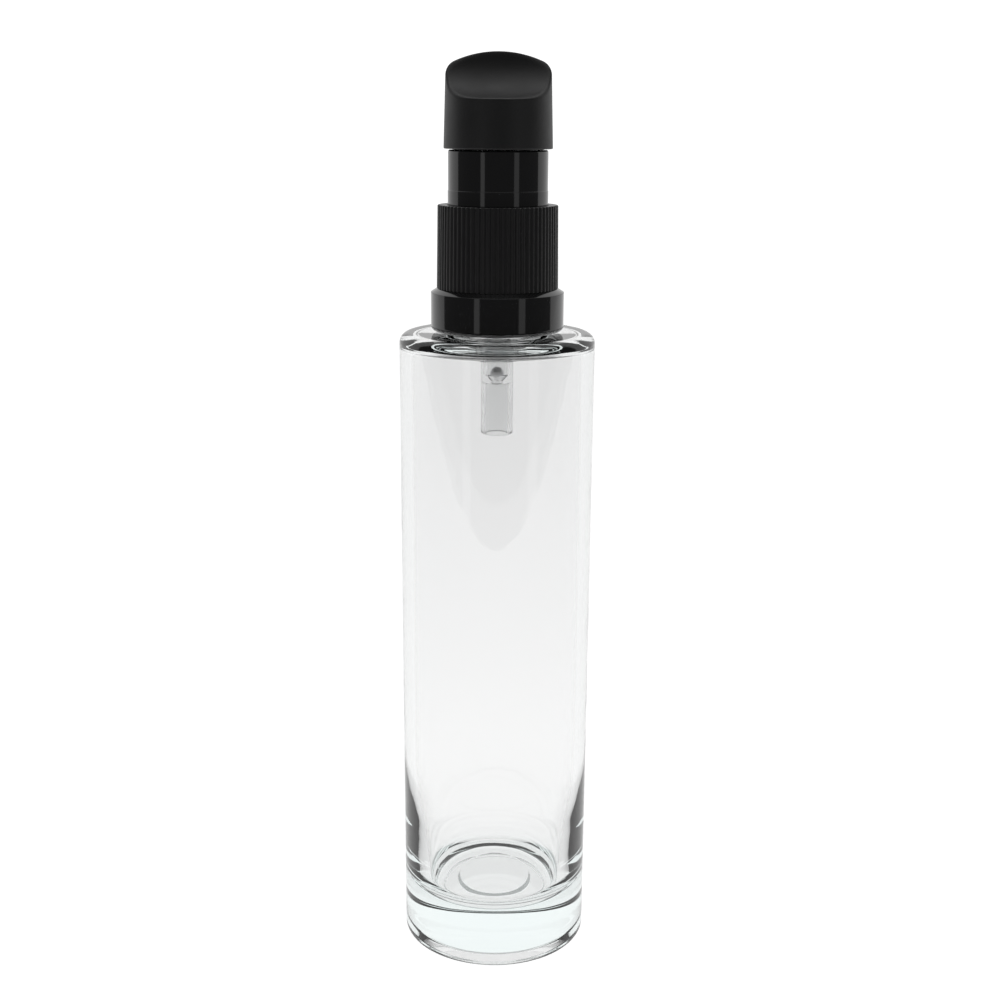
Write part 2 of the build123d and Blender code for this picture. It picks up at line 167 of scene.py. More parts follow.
class ClosureSettings(bpy.types.PropertyGroup):
    """Sizes of the screw closure, its glossy ring and the guide sleeve."""

    radius: length("Radius", "Radius over the ribs, at the ring", 10.6)
    top_radius: length("Top Radius", "Radius over the ribs, at the top", 10.42)
    bottom: length("Bottom", "Height of the closure's foot", foot_of("screw_closure"))
    top: length("Top", "Height of the closure's top", top_of("screw_closure"))
    roof: length("Roof", "Thickness of the closure's roof", 1.6)
    bore: length("Bore", "Inside radius of the skirt", 9.0)
    hole: length("Hole", "Radius of the hole in the roof", 8.74)
    skirt: length("Skirt", "Radius of the plain foot inside the ring", 10.15)
    ribs: IntProperty(name="Ribs", description="Number of ribs", default=72, min=12)
    rib_depth: length("Rib Depth", "Depth of the grooves between the ribs", 0.24)
    edge: length("Edge", "Rounding of the closure's edges", 0.22)
    ring_radius: length("Ring Radius", "Radius of the glossy ring", reach_of("collar_ring"))
    ring_bottom: length("Ring Bottom", "Height of the ring's foot", foot_of("collar_ring"))
    ring_top: length("Ring Top", "Height where the ring's shoulder meets the ribs", top_of("collar_ring"))
    ring_slope: length("Ring Slope", "Height of the ring's conical shoulder", 0.7)
    ring_foot_round: length("Ring Foot", "Rounding of the ring's foot", 0.8)
    sleeve_radius: length("Sleeve Radius", "Radius of the sleeve above its step", 8.6)
    sleeve_step: length("Sleeve Step", "How much thicker the sleeve is below its step", 0.06)
    sleeve_step_height: length("Step Height", "Height of the step on the sleeve", 140.6)
    sleeve_bore: length("Sleeve Bore", "Inside radius of the sleeve", 7.6)
    sleeve_bottom: length("Sleeve Bottom", "Height of the sleeve's foot", foot_of("guide_sleeve"))
    sleeve_top: length("Sleeve Top", "Height of the sleeve's rim", top_of("guide_sleeve"))
    sleeve_flange: length("Sleeve Flange", "Thickness of the sleeve's flange", 1.2)
    sleeve_flange_radius: length("Flange Radius", "Radius of the sleeve's flange", reach_of("guide_sleeve"))
    sleeve_flange_top: length("Flange Top", "Height of the flange's upper face", 136.55)
    black: tone("Black", "Colour of the black plastics", 0.0045, 0.0045, 0.005)


class HeadSettings(bpy.types.PropertyGroup):
    """Sizes of the pump's head."""

    bottom: length("Bottom", "Height of the head's foot", foot_of("actuator_shell"))
    radius: length("Radius", "Radius of the head at its foot", reach_of("actuator_shell"))
    top_radius: length("Top Radius", "Radius of the head under its dome", 9.0)
    side_top: length("Side Top", "Height where the drafted side would meet the dome", 161.0)
    apex: length("Apex", "Height that the dome would reach without the scoop", 163.4)
    wall: length("Wall", "Thickness of the shell", 1.2)
    edge_round: length("Edge Rounding", "Rounding between the side and the dome", 2.6)
    bore: length("Bore", "Inside radius of the lower part", 8.72)
    bore_top: length("Bore Top", "Height of the step inside", 152.6)
    scoop_half_length: length("Scoop Half Length", "Half the scoop's long axis", 19.7)
    scoop_radius: length("Scoop Radius", "Radius of the scoop across its long axis", 8.4)
    scoop_offset: length("Scoop Offset", "How far in front of the head's axis the scoop's lies", 7.5)
    scoop_height: length("Scoop Height", "Height of the scoop's axis", 164.0)
    scoop_round: length("Scoop Rounding", "Width over which the scoop's edge is rounded", 0.9)
    heart_back: length("Heart Back", "How far behind the axis the lines into the head meet", 5.0)
    heart_drop: length("Heart Drop", "How far under the head's foot those lines meet", 1.5)
    outlet: length("Outlet", "Height of the outlet", 154.9)
    outlet_radius: length("Outlet Radius", "Radius of the hole for the nozzle", 1.43)
    orifice: length("Orifice", "Radius of the nozzle's orifice", 0.45)


class PumpSettings(bpy.types.PropertyGroup):
    """Sizes of the pump's body, ball and spring."""

    barrel: length("Barrel", "Outside radius of the barrel", 3.8)
    barrel_bore: length("Barrel Bore", "Inside radius of the barrel", 3.05)
    barrel_bottom: length("Barrel Bottom", "Height of the barrel's lower end", 113.2)
    cone: length("Cone", "Height of the cone under the barrel", 0.95)
    foot: length("Foot", "Outside radius of the foot", 2.85)
    foot_bottom: length("Foot Bottom", "Height of the foot's rim", foot_of("pump_housing"))
    socket: length("Socket", "Radius of the dip tube socket", 2.0)
    socket_length: length("Socket Length", "Length of the dip tube socket", 9.2)
    throat: length("Throat", "Radius of the way in under the ball", 0.8)
    seat_bottom: length("Seat Bottom", "Height where the ball's seat starts", 107.9)
    seat_top: length("Seat Top", "Height where the ball's seat ends", 109.0)
    chamber: length("Chamber", "Radius of the ball's chamber", 1.7)
    flange: length("Flange", "Radius of the pump's flange", 8.3)
    flange_thickness: length("Flange Thickness", "Thickness of the pump's flange", 1.2)
    wire: length("Wire", "Radius of the spring's wire", 0.28)
    coil: length("Coil", "Radius of the spring's middle line", 2.4)
    coil_turns: share("Coil Turns", "Turns of the spring", 9.0, 20.0)
    natural: tone("Natural Plastic", "Colour of the unpigmented plastic", 0.965, 0.97, 0.97)
    steel: tone("Steel", "Colour of the spring and the ball", 0.62, 0.62, 0.63)


class StudioSettings(bpy.types.PropertyGroup):
    """Camera, lights and surroundings."""

    camera_distance: length("Camera Distance", "From the bottle's axis to the camera", 263.8)
    camera_height: length("Camera Height", "Height of the camera", 152.3)
    camera_pitch: angle_of("Camera Pitch", "How far the camera looks down", 16)
    camera_roll: angle_of("Camera Roll", "How far the camera leans", 0.32)
    lens: FloatProperty(name="Lens", description="Focal length on the sensor", default=53.8, unit="CAMERA")
    sensor: FloatProperty(name="Sensor", description="Width of the sensor", default=36.0, unit="CAMERA")
    shift_x: FloatProperty(name="Shift X", description="Sideways shift of the picture", default=0.004)
    shift_y: FloatProperty(name="Shift Y", description="Upward shift of the picture", default=0.048)
    floor_radius: length("Floor Radius", "Radius of the pale floor", 900.0)
    floor_back: length("Floor Back", "How far behind the bottle the floor's middle lies", 600.0)
    backdrop: share("Backdrop", "Brightness of the surroundings behind everything", 1.15, 5.0)
    back: share("Back", "Brightness behind the bottle, as glossy surfaces mirror it", 0.85, 5.0)
    front: share("Front", "Brightness in front of the bottle, as glossy surfaces mirror it", 0.13, 5.0)
    front_through: share("Front Through Glass", "Brightness in front, as glass shows it", 0.5, 5.0)
    above_through: share("Above Through Glass", "Brightness above, as glass shows it", 0.45, 5.0)
    beyond: share("Beyond", "Brightness behind the bottle, as glass shows it", 1.05, 5.0)
    floor_glow: share("Floor Glow", "Brightness that the floor has of its own", 0.76, 5.0)
    floor_white: share("Floor White", "Share of plain white in the floor, as the camera sees it", 0.6)
    white_half_angle: angle_of("White Half Angle", "Half the angle that the white backdrop spans", 76)
    aim: length("Aim", "Height that the soft boxes are turned to", 130.0)


# ---- Shader trees ----


class Value:
    """A socket of a shader tree that takes part in expressions. Each operator adds one Math node."""

    def __init__(self, shader, socket):
        self.shader = shader
        self.socket = socket

    def combined(self, operation, first, second):
        return self.shader.node("ShaderNodeMath", {"operation": operation}, {0: first, 1: second})

    def __add__(self, other):
        return self.combined("ADD", self, other)

    __radd__ = __add__

    def __sub__(self, other):
        return self.combined("SUBTRACT", self, other)

    def __rsub__(self, other):
        return self.combined("SUBTRACT", other, self)

    def __mul__(self, other):
        return self.combined("MULTIPLY", self, other)

    __rmul__ = __mul__

    def __truediv__(self, other):
        return self.combined("DIVIDE", self, other)

    def __rtruediv__(self, other):
        return self.combined("DIVIDE", other, self)

    def __pow__(self, other):
        return self.combined("POWER", self, other)


class Shader:
    """A material's or the world's node tree, built one node at a time."""

    def __init__(self, owner):
        owner.use_nodes = True
        self.owner = owner
        self.tree = owner.node_tree
        self.tree.nodes.clear()

    def node(self, kind, settings=None, inputs=None, output=0):
        """Adds a node: its settings first, then the values or links of its inputs. Returns one output."""
        made = self.tree.nodes.new(kind)
        for name, value in (settings or {}).items():
            if name == "stops":
                set_stops(made.color_ramp, value)
            else:
                setattr(made, name, value)
        for name, value in (inputs or {}).items():
            if isinstance(value, Value):
                self.tree.links.new(value.socket, made.inputs[name])
            else:
                made.inputs[name].default_value = value
        return Value(self, made.outputs[output]) if made.outputs else None

    def place(self):
        """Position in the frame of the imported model, because every piece's object sits at the origin."""
        return self.node("ShaderNodeTexCoord", output="Object")

    def parts(self, vector):
        """The three numbers of a vector."""
        first = self.node("ShaderNodeSeparateXYZ", inputs={0: vector})
        return [Value(self, socket) for socket in first.socket.node.outputs]

    def noise(self, place, scale, detail=2.0):
        """Soft noise between 0 and 1, with a number of grains in a metre."""
        return self.node("ShaderNodeTexNoise", inputs={"Vector": place, "Scale": scale, "Detail": detail})

    def step(self, value, low, high):
        """Smooth rise from 0 to 1 between two values."""
        return self.node(
            "ShaderNodeMapRange", {"interpolation_type": "SMOOTHSTEP"},
            {"Value": value, "From Min": low, "From Max": high},
        )

    def ramp(self, value, *stops):
        """Colour that follows a value through (place, colour) stops."""
        return self.node("ShaderNodeValToRGB", {"stops": stops}, {0: value})

    def blend(self, factor, first, second):
        """Mix of two colours."""
        return self.node("ShaderNodeMix", {"data_type": "RGBA"}, {0: factor, 6: first, 7: second}, output=2)

    def bump(self, height, distance, strength=1.0):
        """Normal that leans as a height field does."""
        return self.node(
            "ShaderNodeBump", inputs={"Strength": strength, "Distance": distance, "Height": height}
        )

    def finish(self, surface, volume=None):
        """Wires the surface and the volume to the output. Returns the material."""
        inputs = {"Surface": surface}
        if volume:
            inputs["Volume"] = volume
        self.node("ShaderNodeOutputMaterial", inputs=inputs)
        return self.owner


def set_stops(ramp, stops):
    """Gives a colour ramp its (place, colour) stops."""
    for element in list(ramp.elements)[1:]:
        ramp.elements.remove(element)
    for index, (place, colour) in enumerate(stops):
        element = ramp.elements[0] if index == 0 else ramp.elements.new(place)
        element.position = place
        element.color = (*colour, 1.0)


def material(name):
    """A new shader for a material of that name."""
    return Shader(bpy.data.materials.new(name))


def rgba(colour):
    """A colour as a node's socket takes it."""
    return (*colour, 1.0)


def dimmed(colour, factor):
    """A colour made darker or lighter."""
    return tuple(min(1.0, channel * factor) for channel in colour)


def clear_glass(settings):
    """Flint glass: faint ripples, a teal depth, and painted shade in its colour, darkest in the upper body,
    for the darker backdrop seen through it.
    """
    shader = material("clear flint glass")
    place = shader.place()
    height = shader.parts(place)[2]
    # Painted shade: the colour is lightest a quarter up, a little darker at the base and darkest from three
    # quarters up, standing in for the backdrop seen through the glass.
    painted_glass_shade = shader.ramp(
        height / settings.mouth,
        (0.0, (0.975, 0.97, 0.97)),
        (0.25, (0.99, 0.987, 0.987)),
        (0.75, tuple(settings.painted_glass_shade)),
    )
    ripple = shader.noise(place, 160.0, 1.0)
    surface = shader.node(
        "ShaderNodeBsdfPrincipled",
        inputs={
            "Base Color": painted_glass_shade,
            "Roughness": 0.0,
            "IOR": settings.index,
            "Transmission Weight": 1.0,
            "Normal": shader.bump(ripple, 0.02 * MM),
        },
    )
    volume = shader.node(
        "ShaderNodeVolumeAbsorption",
        inputs={"Color": rgba(settings.depth_colour), "Density": settings.depth_density},
    )
    return shader.finish(surface, volume)


def moulded(name, colour, roughness, grain, depth, specular=0.5, spread=0.25, **constants):
    """Moulded plastic: a fine grain in its relief, and a gloss and a colour that vary a little with it."""
    shader = material(name)
    place = shader.place()
    cloud = shader.noise(place, 260.0)
    texture = shader.noise(place, grain, 3.0)
    base = shader.blend(cloud, rgba(dimmed(colour, 1 - spread)), rgba(dimmed(colour, 1 + spread)))
    inputs = {
        "Base Color": base,
        "Roughness": roughness * (0.85 + 0.3 * cloud),
        "Specular IOR Level": specular,
        "Normal": shader.bump(texture, depth),
    }
    inputs.update(constants)
    return shader.finish(shader.node("ShaderNodeBsdfPrincipled", inputs=inputs))


def drawn_steel(colour):
    """Bright steel with fine lines across the wire."""
    shader = material("bright drawn steel")
    place = shader.place()
    lines = shader.noise(place, 9000.0)
    surface = shader.node(
        "ShaderNodeBsdfPrincipled",
        inputs={
            "Base Color": shader.blend(lines, rgba(dimmed(colour, 0.9)), rgba(dimmed(colour, 1.1))),
            "Metallic": 1.0,
            "Roughness": 0.18 + 0.14 * lines,
            "Normal": shader.bump(lines, 0.003 * MM),
        },
    )
    return shader.finish(surface)


def closed_cell_foam():
    """White foam with small closed cells."""
    shader = material("closed-cell foam")
    place = shader.place()
    cells = shader.node("ShaderNodeTexVoronoi", inputs={"Vector": place, "Scale": 4500.0})
    surface = shader.node(
        "ShaderNodeBsdfPrincipled",
        inputs={
            "Base Color": shader.blend(cells, (0.93, 0.93, 0.91, 1.0), (0.8, 0.8, 0.78, 1.0)),
            "Roughness": 0.85 - 0.1 * cells,
            "Normal": shader.bump(cells, 0.04 * MM),
        },
    )
    return shader.finish(surface)


# ---- Outlines and grids ----


def rounded(*corners, steps=8):
    """Outline through (radius, height, rounding) corners: straight runs joined by arcs tangent to both.

    An arc's centre lies on its corner's bisector, at rounding / sin(half the corner's angle), and it starts
    at rounding / tan(half the angle) along each run. A guard point stands on each run just before its arc,
    which keeps smooth shading inside the arc."""
    corners = np.array(corners, dtype=float)
    place, size = corners[:, :2], corners[:, 2:]
    back = np.roll(place, 1, axis=0) - place
    ahead = np.roll(place, -1, axis=0) - place
    back_run = np.linalg.norm(back, axis=1, keepdims=True)
    ahead_run = np.linalg.norm(ahead, axis=1, keepdims=True)
    back, ahead = back / back_run, ahead / ahead_run
    half = 0.5 * np.arccos(np.clip((back * ahead).sum(axis=1, keepdims=True), -1, 1))
    reach = size / np.tan(half)
    bisector = back + ahead
    bisector /= np.linalg.norm(bisector, axis=1, keepdims=True) + 1e-12
    centre = place + bisector * size / np.sin(half)
    start, end = place + back * reach, place + ahead * reach
    first = np.arctan2(*(start - centre).T[::-1])[:, None]
    last = np.arctan2(*(end - centre).T[::-1])[:, None]
    swing = (last - first + pi) % FULL_TURN - pi
    angle = first + swing * np.linspace(0, 1, steps + 1)
    arc = centre[:, None, :] + size[:, :, None] * np.stack([np.cos(angle), np.sin(angle)], axis=-1)
    guard = np.minimum(0.25 * size, 0.1 * np.minimum(back_run, ahead_run))
    points = np.concatenate([(start + back * guard)[:, None], arc, (end + ahead * guard)[:, None]], axis=1)
    sharp = size[:, 0] == 0
    points[sharp, 0] = place[sharp]
    kept = np.ones(points.shape[:2], dtype=bool)
    kept[sharp, 1:] = False
    return points[kept]


def divided(outline, spacing, chosen):
    """The outline with its chosen runs cut into equal steps, none longer than the spacing.

    Each run from a point to the next is repeated as often as it has steps, and each copy is moved along the
    run by its share of the run's length."""
    ahead = np.roll(outline, -1, axis=0) - outline
    run = np.linalg.norm(ahead, axis=1)
    wanted = chosen(*(outline + ahead / 2).T)
    wanted[-1] = False
    pieces = np.where(wanted, np.ceil(run / spacing), 1).astype(int)
    index = np.repeat(np.arange(len(outline)), pieces)
    first = np.repeat(np.cumsum(pieces) - pieces, pieces)
    part = (np.arange(pieces.sum()) - first) / pieces[index]
    return outline[index] + ahead[index] * part[:, None]


def turned(outline, columns):
    """Grid of cylindrical points (angle, radius, height): the outline repeated at equal angles round Z."""
    grid = np.empty((columns, len(outline), 3))
    grid[..., 0] = (np.arange(columns) * FULL_TURN / columns)[:, None]
    grid[..., 1:] = outline
    return grid


def unrolled(grid):
    """Cylindrical points as x = radius cos(angle), y = radius sin(angle), z = height."""
    angle, radius, height = np.moveaxis(grid, -1, 0)
    return np.stack([radius * np.cos(angle), radius * np.sin(angle), height], axis=-1)


def ridge(angle, height, thread, start, turns):
    """Share of a screw ridge's full height at each point of a cylinder, from 0 at its foot to 1 at its crest.

    The ridge's middle line climbs by one pitch each turn, h(a) = start + pitch a / 2 pi, for a from 0 to all
    the turns. Across it the share falls from 1 to 0 between half the crest's width and half the root's width,
    and along it the share rises and falls smoothly over the fade angle at both ends."""
    lap = np.round((height - start) / thread.pitch - angle / FULL_TURN)
    along = angle + FULL_TURN * lap
    off = np.abs(height - start - thread.pitch * along / FULL_TURN)
    flank = (thread.root_width - thread.crest_width) / 2
    across = np.clip((thread.root_width / 2 - off) / flank, 0, 1)
    end = np.clip(np.minimum(along, FULL_TURN * turns - along) / thread.fade, 0, 1)
    return across * end * end * (3 - 2 * end)


def thread_band(wall, thread, start, turns):
    """A test for the points of a round wall under a thread, with a ridge's width to spare at both ends."""
    low = start - thread.root_width
    high = start + thread.pitch * turns + thread.root_width

    def covers(radius, height):
        return (abs(radius - wall) < NEAR) & (height > low) & (height < high)

    return covers


def smooth_least(first, second, width):
    """The smaller of two arrays, with a parabola of that width where they meet."""
    near = np.clip(1 - np.abs(first - second) / width, 0, 1)
    return np.minimum(first, second) - near * near * width / 4


def quads(columns, rows, ring):
    """Faces of a grid whose columns close round. In a ring its rows close too."""
    column = np.arange(columns)[:, None]
    row = np.arange(rows if ring else rows - 1)[None, :]
    after, above = (column + 1) % columns, (row + 1) % rows
    corners = (column * rows + row, after * rows + row, after * rows + above, column * rows + above)
    return np.stack(np.broadcast_arrays(*corners), axis=-1).reshape(-1, 4)


def fans(columns, rows, points):
    """Triangles that close a grid's first and last row on two more points, which follow the grid's own."""
    column = np.arange(columns)
    after = (column + 1) % columns
    last = rows - 1
    low = np.stack([np.full(columns, points), after * rows, column * rows], axis=-1)
    high = np.stack([column * rows + last, after * rows + last, np.full(columns, points + 1)], axis=-1)
    return np.concatenate([low, high])


def new_mesh(name, points, four_sided, three_sided=None):
    """A smooth mesh from points and from faces of four and of three corners."""
    three_sided = np.empty((0, 3), dtype=int) if three_sided is None else three_sided
    corners = np.concatenate([four_sided.ravel(), three_sided.ravel()])
    sides = np.concatenate([np.full(len(four_sided), 4), np.full(len(three_sided), 3)])
    mesh = bpy.data.meshes.new(name)
    mesh.vertices.add(len(points))
    mesh.vertices.foreach_set("co", points.ravel())
    mesh.loops.add(len(corners))
    mesh.loops.foreach_set("vertex_index", corners)
    mesh.polygons.add(len(sides))
    mesh.polygons.foreach_set("loop_start", np.cumsum(sides) - sides)
    mesh.update(calc_edges=True)
    mesh.validate()
    mesh.shade_smooth()
    return mesh


def ring_mesh(name, grid):
    """Mesh of a grid that closes both ways, such as a turned ring."""
    columns, rows = grid.shape[:2]
    return new_mesh(name, grid.reshape(-1, 3), quads(columns, rows, True))


def capped_mesh(name, grid):
    """Mesh of a grid whose first and last rows are points on the axis."""
    middle = grid[:, 1:-1]
    columns, rows = middle.shape[:2]
    points = np.concatenate([middle.reshape(-1, 3), grid[:1, 0], grid[:1, -1]])
    return new_mesh(name, points, quads(columns, rows, False), fans(columns, rows, columns * rows))


def add_piece(mesh, body, slot, finish, *nodes):
    """A new object for a mesh: it rides on a body, takes the finish as its material and stands for CAD nodes.
    Its slot argument is not used.
    """
    piece = bpy.data.objects.new(mesh.name, mesh)
    bpy.context.scene.collection.objects.link(piece)
    piece.data.materials.append(finish)
    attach(piece, body)
    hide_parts(*nodes)
    return piece


def dress(node, finish):
    """Gives a CAD node its finished material."""
    piece = frame["nodes"][node]
    piece.data.materials.clear()
    piece.data.materials.append(finish)


def black_plastic(kind):
    """One of the black plastics, made once: its sheen follows the mould's finish."""
    made = bpy.data.materials.get(f"{kind} black plastic")
    if made:
        return made
    colour = tuple(bpy.context.scene.closure_settings.black)
    sheen = {
        "matte": {"roughness": 0.48, "grain": 5200.0, "depth": 0.012 * MM, "specular": 0.42},
        "ribbed": {"roughness": 0.33, "grain": 2600.0, "depth": 0.004 * MM, "specular": 0.4},
        "gloss": {"roughness": 0.07, "grain": 900.0, "depth": 0.0015 * MM, "specular": 0.5},
    }[kind]
    return moulded(f"{kind} black plastic", colour, **sheen)


# ---- Pieces ----


class FB_OT_glass_bottle(bpy.types.Operator):
    """Make the glass bottle with its thick base, standing ring, rounded shoulder and threaded neck"""

    bl_idname = "bottle.glass_bottle"
    bl_label = "Glass Bottle"

    def execute(self, context):
        size = context.scene.bottle_settings
        thread = context.scene.thread_settings
        cavity = size.radius - size.wall
        ceiling = size.shoulder - size.shoulder_wall
        disc_top = size.floor + size.disc_height
        outline = rounded(
            (0, size.push_up_depth, 0),
            (size.push_up, size.push_up_depth, size.push_up_round),
            (size.push_up + size.push_up_depth, 0, size.push_up_round / 2),
            (size.radius, 0, size.heel_round),
            (size.radius, size.shoulder, size.shoulder_round),
            (size.neck, size.shoulder, size.neck_round),
            (size.neck, size.mouth, size.rim_round),
            (size.neck_bore, size.mouth, size.rim_round),
            (size.neck_bore, ceiling - size.shoulder_sag, size.neck_round),
            (cavity, ceiling, size.inner_round),
            (cavity, size.thick_from, size.wall_blend),
            (size.floor_corner, size.floor, size.floor_round),
            (size.disc, size.floor, size.disc_round),
            (size.disc - size.disc_height, disc_top, size.disc_round),
            (0, disc_top, 0),
            steps=10,
        )
        threaded = thread_band(size.neck, thread, thread.start, thread.turns)
        outline = divided(outline, 0.14 * MM, threaded)
        grid = turned(outline, columns=256)
        angle, radius, height = np.moveaxis(grid, -1, 0)
        crest = (thread.crest - size.neck) * ridge(angle, height, thread, thread.start, thread.turns)
        radius += np.where(threaded(radius, height), crest, 0)
        mesh = capped_mesh("flint_glass_bottle", unrolled(grid))
        add_piece(mesh, "bottle", "clear_glass", clear_glass(size), "glass_bottle")
        return {"FINISHED"}


class FB_OT_closure(bpy.types.Operator):
    """Make the ribbed screw closure, the glossy ring on its foot and the glossy guide sleeve"""

    bl_idname = "bottle.closure"
    bl_label = "Closure, Ring and Sleeve"

    def execute(self, context):
        size = context.scene.closure_settings
        self.make_closure(size, context.scene.thread_settings)
        self.make_ring(size)
        self.make_sleeve(size)
        return {"FINISHED"}

    def make_closure(self, size, thread):
        """Drafted skirt whose radius drops by the rib depth times a wave of the angle, above the ring.

        The wave is (1 - cos(ribs a)) / 2 to a power that narrows the grooves: 1 in the middle of a groove, 0
        on the crown of a rib. On the roof it fades inwards, with a power of the way out from the hole."""
        columns_per_rib, narrowing, fading = 10, 1.6, 6
        ceiling = size.top - size.roof
        outline = rounded(
            (size.bore, size.bottom, size.edge),
            (size.skirt, size.bottom, size.edge),
            (size.skirt, size.ring_top, 0),
            (size.radius, size.ring_top, 0.04 * MM),
            (size.top_radius, size.top, size.edge),
            (size.hole, size.top, size.edge),
            (size.hole, ceiling, size.edge),
            (size.bore, ceiling, size.edge),
            steps=5,
        )
        start, turns = thread.closure_start, thread.closure_turns
        threaded = thread_band(size.bore, thread, start, turns)
        outline = divided(outline, 0.3 * MM, threaded)
        grid = turned(outline, size.ribs * columns_per_rib)
        angle, radius, height = np.moveaxis(grid, -1, 0)
        wave = 0.5 - 0.5 * np.cos(angle * size.ribs)
        groove = size.rib_depth * wave**narrowing
        outside = (radius > size.hole + 3 * size.edge) & (height > size.ring_top - NEAR)
        out = np.clip((radius - size.hole) / (size.top_radius - size.hole), 0, 1)
        groove *= np.where(height > size.top - NEAR, out**fading, 1.0)
        crest = (size.bore - thread.closure_crest) * ridge(angle, height, thread, start, turns)
        radius -= np.where(outside, groove, 0) + np.where(threaded(radius, height), crest, 0)
        mesh = ring_mesh("ribbed_screw_closure", unrolled(grid))
        add_piece(mesh, "closure", "ribbed_black_plastic", black_plastic("ribbed"), "screw_closure")

    def make_ring(self, size):
        """Ring with a rounded foot, a conical shoulder and a step inside for the closure's foot."""
        outline = rounded(
            (size.bore, size.ring_bottom, size.edge),
            (size.ring_radius, size.ring_bottom, size.ring_foot_round),
            (size.ring_radius, size.ring_top - size.ring_slope, 0.12 * MM),
            (size.radius - 0.1 * MM, size.ring_top, 0.05 * MM),
            (size.skirt, size.ring_top, 0.05 * MM),
            (size.skirt, size.bottom, 0),
            (size.bore, size.bottom, 0.05 * MM),
            steps=10,
        )
        mesh = ring_mesh("glossy_collar_ring", unrolled(turned(outline, columns=240)))
        add_piece(mesh, "closure", "gloss_black_plastic", black_plastic("gloss"), "collar_ring")

    def make_sleeve(self, size):
        """Tube with a rounded rim, a fine step on its outside and a flange under the closure's roof."""
        thick = size.sleeve_radius + size.sleeve_step
        flange_foot = size.sleeve_flange_top - size.sleeve_flange
        outline = rounded(
            (size.sleeve_bore, size.sleeve_bottom, size.edge),
            (size.sleeve_radius, size.sleeve_bottom, size.edge),
            (size.sleeve_radius, flange_foot, 0.05 * MM),
            (size.sleeve_flange_radius, flange_foot, 0.1 * MM),
            (size.sleeve_flange_radius, size.sleeve_flange_top, 0.1 * MM),
            (thick, size.sleeve_flange_top, 0.05 * MM),
            (thick, size.sleeve_step_height, size.sleeve_step / 2),
            (size.sleeve_radius, size.sleeve_step_height + 0.05 * MM, 0.02 * MM),
            (size.sleeve_radius, size.sleeve_top, 0.38 * MM),
            (size.sleeve_bore, size.sleeve_top, 0.38 * MM),
            steps=8,
        )
        mesh = ring_mesh("glossy_guide_sleeve", unrolled(turned(outline, columns=240)))
        add_piece(mesh, "pump_body", "gloss_black_plastic", black_plastic("gloss"), "guide_sleeve")


